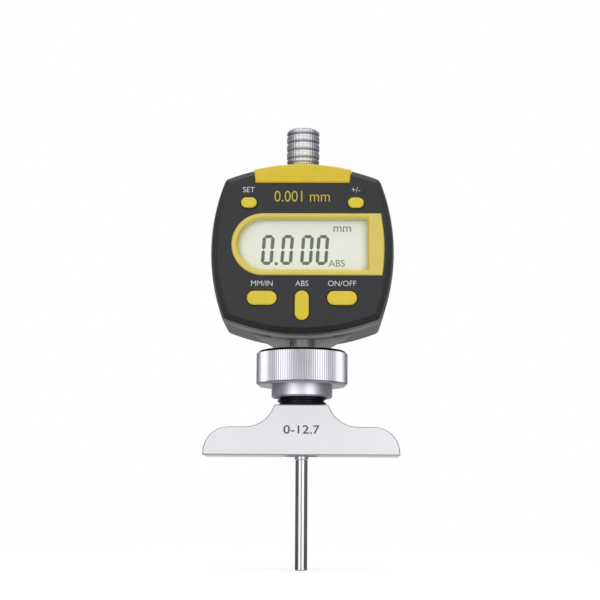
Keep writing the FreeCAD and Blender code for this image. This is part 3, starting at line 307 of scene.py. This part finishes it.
# The finishes, each named after its slot or its look.
KNURLED = dict(metallic=1.0, vary=0.015, grain_size=1 * MM, grain_stretch=(3, 3, 16), grain_depth=0.002 * MM)
MOULDED = dict(roughness=0.38, vary=0.02, grain_size=0.3 * MM, edge=0.2 * MM)
PRINTED = dict(roughness=0.5, vary_size=1 * MM, edge=0.01 * MM)
FINISHES = {
    "ground_steel": dict(
        color=GROUND_STEEL, metallic=0.55, roughness=0.42, vary=0.01, vary_size=20 * MM, rough_size=0.6 * MM,
        grain_size=1 * MM, grain_stretch=(0.4, 6, 12), edge=0.12 * MM),
    "knurled_steel": dict(KNURLED, color=KNURL_STEEL, roughness=0.3, edge=0.03 * MM),
    "ringed_steel": dict(KNURLED, color=CAP_STEEL, roughness=0.38, edge=0.1 * MM),
    "satin_steel": dict(
        color=SATIN_STEEL, metallic=0.55, roughness=0.45, vary=0.02, grain_size=1 * MM,
        grain_stretch=(1, 1, 20), grain_depth=0.002 * MM),
    "polished_steel": dict(
        color=POLISHED_STEEL, metallic=1.0, roughness=0.08, rough_spread=0.02, vary=0.01, grain_size=1 * MM,
        grain_stretch=(1, 1, 20), grain_depth=0.0008 * MM),
    "black_steel": dict(
        color=BLACK_OXIDE, metallic=0.6, roughness=0.38, vary=0.1, grain_depth=0.006 * MM, edge=0.06 * MM),
    "plated_steel": dict(
        color=NICKEL, metallic=0.7, roughness=0.36, grain_depth=0.002 * MM, edge=0.06 * MM),
    "brass": dict(
        color=BRASS, metallic=1.0, roughness=0.25, grain_size=1 * MM, grain_stretch=(1, 1, 14),
        grain_depth=0.002 * MM),
    "cast_aluminium": dict(
        color=ALUMINIUM, metallic=1.0, roughness=0.35, grain_size=1 * MM, grain_stretch=(1, 12, 12),
        grain_depth=0.003 * MM),
    "scale_foil": dict(
        color=SCALE_AMBER, metallic=0.3, roughness=0.3, vary=0.12, vary_size=0.5 * MM,
        grain_depth=0.001 * MM),
    "grey_casting": dict(
        color=GREY_PAINT, roughness=0.55, specular=0.25, vary=0.025, grain_size=0.25 * MM,
        grain_depth=0.006 * MM, edge=0.2 * MM),
    "dark_plastic": dict(
        color=DARK_PLASTIC, roughness=0.5, specular=0.35, vary=0.035, grain_size=0.16 * MM,
        grain_depth=0.008 * MM, edge=0.2 * MM),
    "yellow_plastic": dict(MOULDED, color=YELLOW_PLASTIC),
    "button_plastic": dict(MOULDED, color=YELLOW_BUTTON),
    "gold_plastic": dict(
        color=GOLD_PLASTIC, metallic=0.25, roughness=0.33, vary_size=0.25 * MM, grain_size=0.12 * MM,
        grain_depth=0.003 * MM, edge=0.2 * MM),
    "display_glass": dict(
        color=PANEL_GREY, roughness=0.5, vary=0.006, vary_size=12 * MM, grain_size=0.1 * MM,
        grain_depth=0.001 * MM, edge=0.05 * MM),
    "segment_ink": dict(PRINTED, color=SEGMENT_GREY, vary=0.02, vary_size=2 * MM, edge=0.02 * MM),
    "white_ink": dict(PRINTED, color=WHITE_INK, vary=0.02),
    "yellow_ink": dict(PRINTED, color=YELLOW_INK, roughness=0.45),
    "grey_ink": dict(PRINTED, color=GREY_INK, vary=0.04),
    "board_green": dict(color=BOARD_GREEN, roughness=0.35, vary=0.06, vary_size=3 * MM, edge=0.05 * MM),
    "black_rubber": dict(color=RUBBER, roughness=0.7, vary=0.08, grain_depth=0.01 * MM),
    "black_chip": dict(color=CHIP_BLACK, roughness=0.5, vary=0.05, grain_size=0.08 * MM),
}
materials = {name: finish_of(name, **finish) for name, finish in FINISHES.items()}
materials["clear_lens"] = clear_glass("clear_lens")


# Painted shade and painted light: grooves, chamfers, faces that look down and the buttons' gaps are painted
# darker, and the casting's lower boss and the bezel's slanted faces lighter. The sizes are those of the
# imported pieces. The spans say how squarely a surface has to face, from none of a tint to all of it.
COLLAR_HEIGHT = 3.9 * MM
COLLAR_ROUGHNESS = 0.45
NUT_CHAMFER = 0.9 * MM
KNURL_DEPTH = 0.3 * MM
RING_DEPTH = 0.4 * MM
GROOVE_SOFTNESS = 0.06 * MM
LEVEL_SOFTNESS = 0.1 * MM
BOSS_RISE = 3 * MM
UNDERSIDE_SPAN = (0.2, 0.4)
LOWER_MITRE_SPAN = (0.2, 0.5)
BOSS_FRONT_SPAN = (0.8, 0.9)
OUTER_WALL_SPAN = (0.35, 0.25)
MITRE_LOW = 0.5
MITRE_HIGH = 0.95
MITRE_SOFTNESS = 0.15
CAP_RIDGE_COUNT = 19
CAP_RIDGE_PITCH = 1.8 * MM
CAP_RIDGE_DEPTH = 0.06 * MM


def knurl_grooves(tree):
    """The grooves round the nut, nearly up to their lips."""
    floor_reach = NUT_HIGH.x - KNURL_DEPTH
    lip_reach = NUT_HIGH.x - KNURL_DEPTH / 4
    return band(tree, reach_from_axis(tree), floor_reach - GROOVE_SOFTNESS, lip_reach, GROOVE_SOFTNESS)


def nut_collar(tree):
    """The smooth collar below the knurl."""
    top = NUT_LOW.z + COLLAR_HEIGHT
    return ramp(tree, point_share(tree, "Z"), top, top - LEVEL_SOFTNESS)


def nut_top_edge(tree):
    """The chamfer round the nut's top, painted near black as shade and a dark reflection of the head above.
    """
    return band(tree, point_share(tree, "Z"), NUT_HIGH.z - NUT_CHAMFER, NUT_HIGH.z, LEVEL_SOFTNESS)


def nut_underside(tree):
    """The faces of the nut that look down."""
    return ramp(tree, facing(tree, "Z"), *UNDERSIDE_SPAN)


def knurl_ends(tree):
    """The lower ends of the grooves, painted near black as shade."""
    return both(tree, knurl_grooves(tree), nut_underside(tree))


def cap_grooves(tree):
    """The grooves between the cap's rings, nearly up to their lips."""
    floor_reach = CAP_RADIUS - RING_DEPTH
    lip_reach = CAP_RADIUS - RING_DEPTH / 3
    return band(tree, reach_from_axis(tree), floor_reach - GROOVE_SOFTNESS, lip_reach, GROOVE_SOFTNESS)


def stem_boss(tree):
    """The part of the casting below the bezel."""
    return ramp(tree, point_share(tree, "Z"), BEZEL_BOTTOM, BEZEL_BOTTOM - LEVEL_SOFTNESS)


def boss_front(tree):
    """The casting's front faces near its lower end."""
    low_part = ramp(tree, point_share(tree, "Z"), BEZEL_BOTTOM + 2 * BOSS_RISE, BEZEL_BOTTOM + BOSS_RISE)
    return both(tree, low_part, ramp(tree, facing(tree, "Y"), *BOSS_FRONT_SPAN))


def mitred_edges(tree):
    """The slanted faces between a front and the walls round it."""
    return band(tree, facing(tree, "Y"), MITRE_LOW, MITRE_HIGH, MITRE_SOFTNESS)


def lower_mitres(tree):
    """The slanted faces that also look down."""
    return both(tree, mitred_edges(tree), ramp(tree, facing(tree, "Z"), *LOWER_MITRE_SPAN))


def outer_walls(tree):
    """The walls, which don't face the reader."""
    return ramp(tree, facing(tree, "Y"), *OUTER_WALL_SPAN)


def button_gap(tree):
    """The sides of a button, behind the bezel's face."""
    return ramp(tree, point_share(tree, "Y"), FACE_Y, FACE_Y + LEVEL_SOFTNESS)


def diamond_knurl(tree):
    """The height of two families of slanted ridges that cross round the spindle's axis."""
    turn = calculate(tree, "ARCTAN2", point_share(tree, "X"), point_share(tree, "Y"))
    around = calculate(tree, "MULTIPLY", turn, CAP_RIDGE_COUNT)
    along = calculate(tree, "MULTIPLY", point_share(tree, "Z"), 2 * math.pi / CAP_RIDGE_PITCH)
    waves = []
    for lean in ("ADD", "SUBTRACT"):
        waves.append(calculate(tree, "SINE", calculate(tree, lean, around, along)))
    return both(tree, *waves)


def shade_materials():
    """Painted shade in grooves, on chamfers, on faces that look down and in the buttons' gaps, painted light
    on the casting's boss and the bezel's slanted faces, the bezel's grey walls, the rougher collar and the
    cap's relief.
    """
    tint_where("knurled_steel", knurl_grooves, KNURL_GROOVE_SHADE)
    tint_where("knurled_steel", nut_top_edge, SHADOW_BLACK)
    tint_where("knurled_steel", nut_underside, NUT_UNDERSIDE_SHADE)
    tint_where("knurled_steel", knurl_ends, SHADOW_BLACK)
    roughen_where("knurled_steel", nut_collar, COLLAR_ROUGHNESS)
    tint_where("ringed_steel", cap_grooves, CAP_GROOVE_SHADE)
    emboss("ringed_steel", diamond_knurl, CAP_RIDGE_DEPTH)
    tint_where("ground_steel", mitred_edges, CHAMFER_SHADE)
    tint_where("grey_casting", stem_boss, BOSS_PAINTED_LIGHT)
    tint_where("grey_casting", boss_front, BOSS_PAINTED_LIGHT)
    tint_where("dark_plastic", mitred_edges, BEVEL_PAINTED_LIGHT)
    tint_where("dark_plastic", lower_mitres, LOWER_BEVEL_SHADE)
    tint_where("dark_plastic", outer_walls, WALL_PAINT)
    tint_where("button_plastic", button_gap, BUTTON_GAP_SHADE)


# Pieces whose look is finer than their slot's.
LOOKS = {
    "clamp_nut": "knurled_steel",
    "lifting_cap": "ringed_steel",
    "stem": "satin_steel",
    "scale_strip": "scale_foil",
}


def look_of(row):
    """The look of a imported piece: its own, or the one of its slot."""
    if row["node"].startswith("button_"):
        return "button_plastic"
    return LOOKS.get(row["node"], row["material_slot"])


def dress_nodes():
    """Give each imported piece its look. The lens keeps no light from the display."""
    for row in frame["record"]["subparts"]:
        mesh = nodes[row["node"]].data
        mesh.materials.clear()
        mesh.materials.append(materials[look_of(row)])
    nodes["display_window"].visible_diffuse = False


def new_piece(name, mesh, look, body):
    """A piece made here: shown with one material and riding on a body."""
    piece = bpy.data.objects.new(name, mesh)
    bpy.context.scene.collection.objects.link(piece)
    mesh.materials.clear()
    mesh.materials.append(materials[look])
    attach(piece, body)
    return piece


def bridge(shape, low, high):
    """Join two loops of points with four-sided faces, all the way round."""
    for index, corner in enumerate(low):
        following = (index + 1) % len(low)
        shape.faces.new((corner, low[following], high[following], high[index]))


def solid_of_outline(shape, outline, front, rear):
    """Fill an outline of X and Z points between two depths."""
    near = [shape.verts.new((x, front, z)) for x, z in outline]
    far = [shape.verts.new((x, rear, z)) for x, z in outline]
    shape.faces.new(near)
    shape.faces.new(reversed(far))
    bridge(shape, far, near)


def mesh_from(name, shape):
    """Close a working mesh and hand it over with its faces turned outwards."""
    bmesh.ops.recalc_face_normals(shape, faces=shape.faces)
    mesh = bpy.data.meshes.new(name)
    shape.to_mesh(mesh)
    shape.free()
    return mesh


def sheet(name, corners):
    """One flat face between its corners."""
    shape = bmesh.new()
    shape.faces.new([shape.verts.new(corner) for corner in corners])
    return mesh_from(name, shape)


# The bush's thread, M16 with a pitch of 1.5, and the forms below, above and inside it.
THREAD_PITCH = 1.5 * MM
THREAD_DEPTH = 0.75 * MM
THREAD_SIDES = 128
THREAD_ROWS_PER_TURN = 16
THREAD_CREST_SHARE = 0.2
THREAD_ROOT_SHARE = 0.25
THREAD_BOTTOM = BASE_HIGH.z
THREAD_TOP = THREAD_BOTTOM + 11.0 * MM
BUSH_BORE = 4.03 * MM
BUSH_THROAT = 3.2 * MM
BUSH_SHANK = 6.0 * MM
CONE_BASE = 6.6 * MM
CONE_TIP = 5.6 * MM
STEM_SEAT = BASE_HIGH.z + 0.4 * MM


def thread_radius(turn_share):
    """The thread's radius at a share of one turn's rise: root, flank, crest, flank."""
    flank = (1 - THREAD_CREST_SHARE - THREAD_ROOT_SHARE) / 2
    rise = turn_share - THREAD_ROOT_SHARE
    if rise < 0:
        height = 0.0
    elif rise < flank:
        height = rise / flank
    elif rise < flank + THREAD_CREST_SHARE:
        height = 1.0
    else:
        height = (1 - turn_share) / flank
    return BUSH_HIGH.x - THREAD_DEPTH * (1 - height)


def thread_ring(row):
    """One ring of the thread: its height, and its radius at each side as the thread winds past."""
    turns = row / THREAD_ROWS_PER_TURN
    radii = [thread_radius((turns - side / THREAD_SIDES) % 1) for side in range(THREAD_SIDES)]
    return THREAD_BOTTOM + turns * THREAD_PITCH, radii


def round_rings(*places):
    """Plain rings, from their heights and radii."""
    return [(z, [radius] * THREAD_SIDES) for z, radius in places]


def bush_rings():
    """The bush's rings, up the outside and down the bore."""
    rows = round((THREAD_TOP - THREAD_BOTTOM) / THREAD_PITCH * THREAD_ROWS_PER_TURN)
    shank = round_rings((BUSH_LOW.z, BUSH_THROAT), (BUSH_LOW.z, BUSH_SHANK), (THREAD_BOTTOM, BUSH_SHANK))
    thread = [thread_ring(row) for row in range(rows + 1)]
    cone = round_rings((THREAD_TOP, CONE_BASE), (BUSH_HIGH.z, CONE_TIP))
    bore = round_rings((BUSH_HIGH.z, BUSH_BORE), (STEM_SEAT, BUSH_BORE), (STEM_SEAT, BUSH_THROAT))
    return shank + thread + cone + bore


def threaded_bush():
    """The black bush with a real thread."""
    shape = bmesh.new()
    loops = []
    for z, radii in bush_rings():
        loop = []
        for side, radius in enumerate(radii):
            angle = 2 * math.pi * side / THREAD_SIDES
            loop.append(shape.verts.new((radius * math.cos(angle), radius * math.sin(angle), z)))
        loops.append(loop)
    for low, high in zip(loops, loops[1:] + loops[:1]):
        bridge(shape, low, high)
    mesh = mesh_from("threaded_bush", shape)
    piece = new_piece("threaded_bush", mesh, "black_steel", "base")
    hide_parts("collet_bush")


def coil_spring():
    """The return spring, copied onto a mesh of its own that rides on the indicator."""
    mesh = nodes["return_spring"].data.copy()
    piece = new_piece("coil_spring", mesh, "polished_steel", "indicator")
    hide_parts("return_spring")
    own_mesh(piece)


# The readout: four slanted zeros, each of six bars, and a decimal point after the first.
INK_THICK = 0.02 * MM
DIGIT_HEIGHT = 10.0 * MM
DIGIT_WIDTH = 3.9 * MM
DIGIT_STROKE = 1.1 * MM
DIGIT_SLANT = math.tan(math.radians(4))
DIGIT_GAP = 0.14 * MM
DIGIT_PLACES = (-11.27 * MM, -4.92 * MM, 1.57 * MM, 6.59 * MM)
DIGIT_MIDDLE = HEAD_CENTRE_Z - 0.35 * MM
POINT_X = -8.45 * MM
POINT_DROP = 4.6 * MM
POINT_SIDE = 0.95 * MM


def bar_outline(length):
    """A bar along X with pointed ends."""
    tip, side = length / 2, DIGIT_STROKE / 2
    shoulder = tip - side
    return [(-shoulder, -side), (shoulder, -side), (tip, 0), (shoulder, side), (-shoulder, side), (-tip, 0)]


def zero_bars():
    """The outlines of six bars round an empty middle."""
    reach_x = (DIGIT_WIDTH - DIGIT_STROKE) / 2
    reach_z = (DIGIT_HEIGHT - DIGIT_STROKE) / 2
    across = bar_outline(2 * reach_x - DIGIT_GAP)
    upright = bar_outline(reach_z - DIGIT_GAP)
    bars = []
    for end in (-1, 1):
        bars.append([(x, z + end * reach_z) for x, z in across])
        for side in (-1, 1):
            bars.append([(-z + side * reach_x, x + end * reach_z / 2) for x, z in upright])
    return bars


def slanted(points, middle_x):
    """Lean an outline to the right and put it in its place."""
    return [(middle_x + x + z * DIGIT_SLANT, DIGIT_MIDDLE + z) for x, z in points]


def point_outline():
    """The square decimal point."""
    half = POINT_SIDE / 2
    z = DIGIT_MIDDLE - POINT_DROP
    return [(POINT_X - half, z - half), (POINT_X + half, z - half), (POINT_X + half, z + half),
            (POINT_X - half, z + half)]


def readout():
    """The digits and the decimal point on the display glass."""
    outlines = [slanted(bar, middle_x) for middle_x in DIGIT_PLACES for bar in zero_bars()]
    shape = bmesh.new()
    for outline in outlines + [point_outline()]:
        solid_of_outline(shape, outline, PANEL_FRONT - INK_THICK, PANEL_FRONT)
    new_piece("readout", mesh_from("readout", shape), "segment_ink", "indicator")


# Printed words. A capital's height is a share of its font's size.
CAPITAL_SHARE = 0.7
LETTER_CURVE_STEPS = 6
LABEL_HEIGHT = 1.8 * MM
UPPER_LABEL_RISE = 19.3 * MM
LOWER_LABEL_RISE = -11.85 * MM
STEP_HEIGHT = 3.7 * MM
STEP_RISE = 17.0 * MM
UNIT_HEIGHT = 2.8 * MM
UNIT_PLACE = (13.1 * MM, 6.9 * MM)
MODE_HEIGHT = 2.25 * MM
MODE_PLACE = (11.3 * MM, -4.9 * MM)
RANGE_HEIGHT = 2.7 * MM
RANGE_Z = 8.0 * MM

# Labels of the buttons: name, words, X and height above the head's centre.
LABELS = [
    ("label_set", "SET", -17.6 * MM, UPPER_LABEL_RISE),
    ("label_sign", "+/-", 17.5 * MM, UPPER_LABEL_RISE),
    ("label_units", "MM/IN", -13.0 * MM, LOWER_LABEL_RISE),
    ("label_mode", "ABS", 0.0, LOWER_LABEL_RISE),
    ("label_power", "ON/OFF", 13.0 * MM, LOWER_LABEL_RISE),
]


def lettering(name, words, place, height, look, body, width=1.0, weight=0.0):
    """Flat printed words that face the reader, centred on a point, with their width and weight changed."""
    x, y, z = place
    curve = bpy.data.curves.new(name, "FONT")
    curve.body = words
    curve.align_x = "CENTER"
    curve.align_y = "CENTER"
    curve.size = height / CAPITAL_SHARE
    curve.extrude = INK_THICK / 2
    curve.offset = weight
    curve.resolution_u = LETTER_CURVE_STEPS
    writing = bpy.data.objects.new(name, curve)
    writing.rotation_euler = Euler((math.pi / 2, 0, 0))
    writing.scale = (width, 1, 1)
    writing.location = (x, y - INK_THICK / 2, z)
    bpy.context.scene.collection.objects.link(writing)
    bpy.context.view_layer.update()
    evaluated = writing.evaluated_get(bpy.context.evaluated_depsgraph_get())
    mesh = bpy.data.meshes.new_from_object(evaluated)
    mesh.transform(writing.matrix_world)
    bpy.data.objects.remove(writing)
    new_piece(name, mesh, look, body)


def bezel_words():
    """The buttons' labels and the resolution."""
    for name, words, x, rise in LABELS:
        lettering(name, words, (x, FACE_Y, HEAD_CENTRE_Z + rise), LABEL_HEIGHT, "white_ink", "indicator",
                  weight=-0.02 * MM)
    lettering("label_step", "0.001 mm", (0, FACE_Y, HEAD_CENTRE_Z + STEP_RISE), STEP_HEIGHT, "yellow_ink",
              "indicator", width=0.87, weight=-0.04 * MM)


def display_words():
    """The unit and the mode on the display glass."""
    for name, words, (x, rise), height in (("readout_unit", "mm", UNIT_PLACE, UNIT_HEIGHT),
                                           ("readout_mode", "ABS", MODE_PLACE, MODE_HEIGHT)):
        lettering(name, words, (x, PANEL_FRONT, HEAD_CENTRE_Z + rise), height, "segment_ink", "indicator")


def base_words():
    """The range on the base."""
    lettering("base_range", "0-12.7", (0, BASE_LOW.y, RANGE_Z), RANGE_HEIGHT, "grey_ink", "base",
              width=1.2, weight=0.03 * MM)


# The studio, in metres. The cards' place is in the frame; the lamps' heights count from the gauge's middle.
ROOM_LEVEL = 0.62
FLOOR_SIZE = 8.0
FLOOR_ROUGHNESS = 0.9
FLOOR_GLOW = 0.58
FLOOR_FADE_START = 0.08
FLOOR_FADE_END = 0.5
FLAG_PLACE = (0.40, 0.215, 0.06)
FLAG_WIDTH = 0.97
FLAG_HEIGHT = 0.6
KEY_POWER = 1.25
KEY_PLACE = (0.35, -0.58, 0.05)
KEY_SIZE = (0.37, 0.8)
TOP_POWER = 1.5
TOP_PLACE = (0, -0.1, 0.7)
TOP_SIZE = (0.8, 0.6)


def seen_directly(tree):
    """1 for rays from the camera, through the lens too, and 0 for lamplight and mirrored light."""
    path = add_node(tree, "LightPath").outputs
    return calculate(tree, "ADD", path["Is Camera Ray"], path["Is Transmission Ray"], use_clamp=True)


def floor_material():
    """A pale grey that glows for the camera, and far off fades into the white background."""
    material, tree, surface = new_material("pale_floor")
    surface.inputs["Base Color"].default_value = linear(FLOOR_GREY)
    surface.inputs["Roughness"].default_value = FLOOR_ROUGHNESS
    glow = add_node(tree, "Emission", {"Color": WHITE, "Strength": FLOOR_GLOW})
    near = add_node(tree, "AddShader", {0: surface.outputs[0], 1: glow.outputs[0]})
    far = add_node(tree, "Emission", {"Color": WHITE, "Strength": 1.0})
    fade = ramp(tree, reach_from_axis(tree), FLOOR_FADE_START, FLOOR_FADE_END)
    shown = add_node(tree, "MixShader", {0: fade, 1: near.outputs[0], 2: far.outputs[0]})
    mixed = add_node(tree, "MixShader", {0: seen_directly(tree), 1: surface.outputs[0], 2: shown.outputs[0]})
    tree.links.new(mixed.outputs[0], tree.nodes["Material Output"].inputs["Surface"])
    return material


def floor():
    """A plain floor under the rod's tip, which bare metal doesn't mirror."""
    half = FLOOR_SIZE / 2
    z = cad_box[0].z
    mesh = sheet("floor", [(-half, -half, z), (half, -half, z), (half, half, z), (-half, half, z)])
    mesh.materials.append(floor_material())
    plane = bpy.data.objects.new("floor", mesh)
    plane.visible_glossy = False
    bpy.context.scene.collection.objects.link(plane)


def room():
    """An even grey room whose far wall shows white."""
    world = bpy.data.worlds.new("room")
    bpy.context.scene.world = world
    world.use_nodes = True
    tree = world.node_tree
    strength = add_node(tree, "MapRange", {
        "Value": seen_directly(tree), "To Min": ROOM_LEVEL, "To Max": 1.0})
    background = tree.nodes["Background"]
    background.inputs["Color"].default_value = WHITE
    tree.links.new(strength.outputs["Result"], background.inputs["Strength"])


def flags():
    """A grey card beyond each side, hidden from the camera, that bare metal mirrors as a dark line."""
    material, _, surface = new_material("flag")
    surface.inputs["Base Color"].default_value = linear(FLAG_GREY)
    surface.inputs["Roughness"].default_value = 1.0
    x, y, z = FLAG_PLACE
    near, far = y - FLAG_WIDTH / 2, y + FLAG_WIDTH / 2
    low, high = z - FLAG_HEIGHT / 2, z + FLAG_HEIGHT / 2
    for name, side in (("flag_left", -1), ("flag_right", 1)):
        mesh = sheet(name, [(side * x, near, low), (side * x, far, low), (side * x, far, high),
                            (side * x, near, high)])
        mesh.materials.append(material)
        card = bpy.data.objects.new(name, mesh)
        card.visible_camera = False
        bpy.context.scene.collection.objects.link(card)


def soft_lamp(name, place, size, power):
    """A large rectangular lamp that looks at the gauge's middle, from a place at a height above it."""
    middle = (cad_box[0] + cad_box[1]) / 2
    lamp = bpy.data.lights.new(name, "AREA")
    lamp.shape = "RECTANGLE"
    lamp.size, lamp.size_y = size
    lamp.energy = power
    holder = bpy.data.objects.new(name, lamp)
    holder.location = Vector(place) + Vector((0, 0, middle.z))
    holder.rotation_euler = (middle - holder.location).to_track_quat("-Z", "Y").to_euler()
    bpy.context.scene.collection.objects.link(holder)


def lamps():
    """Two tall soft lamps either side of the camera and a wide one overhead."""
    out, back, rise = KEY_PLACE
    soft_lamp("lamp_left", (-out, back, rise), KEY_SIZE, KEY_POWER)
    soft_lamp("lamp_right", (out, back, rise), KEY_SIZE, KEY_POWER)
    soft_lamp("lamp_top", TOP_PLACE, TOP_SIZE, TOP_POWER)


def camera():
    """The photograph's camera."""
    made = bpy.data.cameras.new("camera")
    made.lens = CAMERA_LENS
    made.sensor_width = SENSOR_WIDTH
    made.clip_start = CAMERA_NEAR
    made.clip_end = CAMERA_FAR
    holder = bpy.data.objects.new("camera", made)
    lift = math.radians(CAMERA_ELEVATION)
    swing = math.radians(CAMERA_AZIMUTH)
    outwards = Vector((math.sin(swing) * math.cos(lift), -math.cos(swing) * math.cos(lift), math.sin(lift)))
    holder.location = CAMERA_AIM + outwards * CAMERA_DISTANCE
    look = (CAMERA_AIM - holder.location).to_track_quat("-Z", "Y").to_matrix().to_4x4()
    roll = Euler((0, 0, math.radians(CAMERA_ROLL))).to_matrix().to_4x4()
    holder.rotation_euler = (look @ roll).to_euler()
    bpy.context.scene.collection.objects.link(holder)
    bpy.context.scene.camera = holder


shade_materials()
dress_nodes()
threaded_bush()
coil_spring()
readout()
bezel_words()
display_words()
base_words()
floor()
room()
flags()
lamps()
camera()
bpy.context.scene.view_settings.view_transform = "Standard"
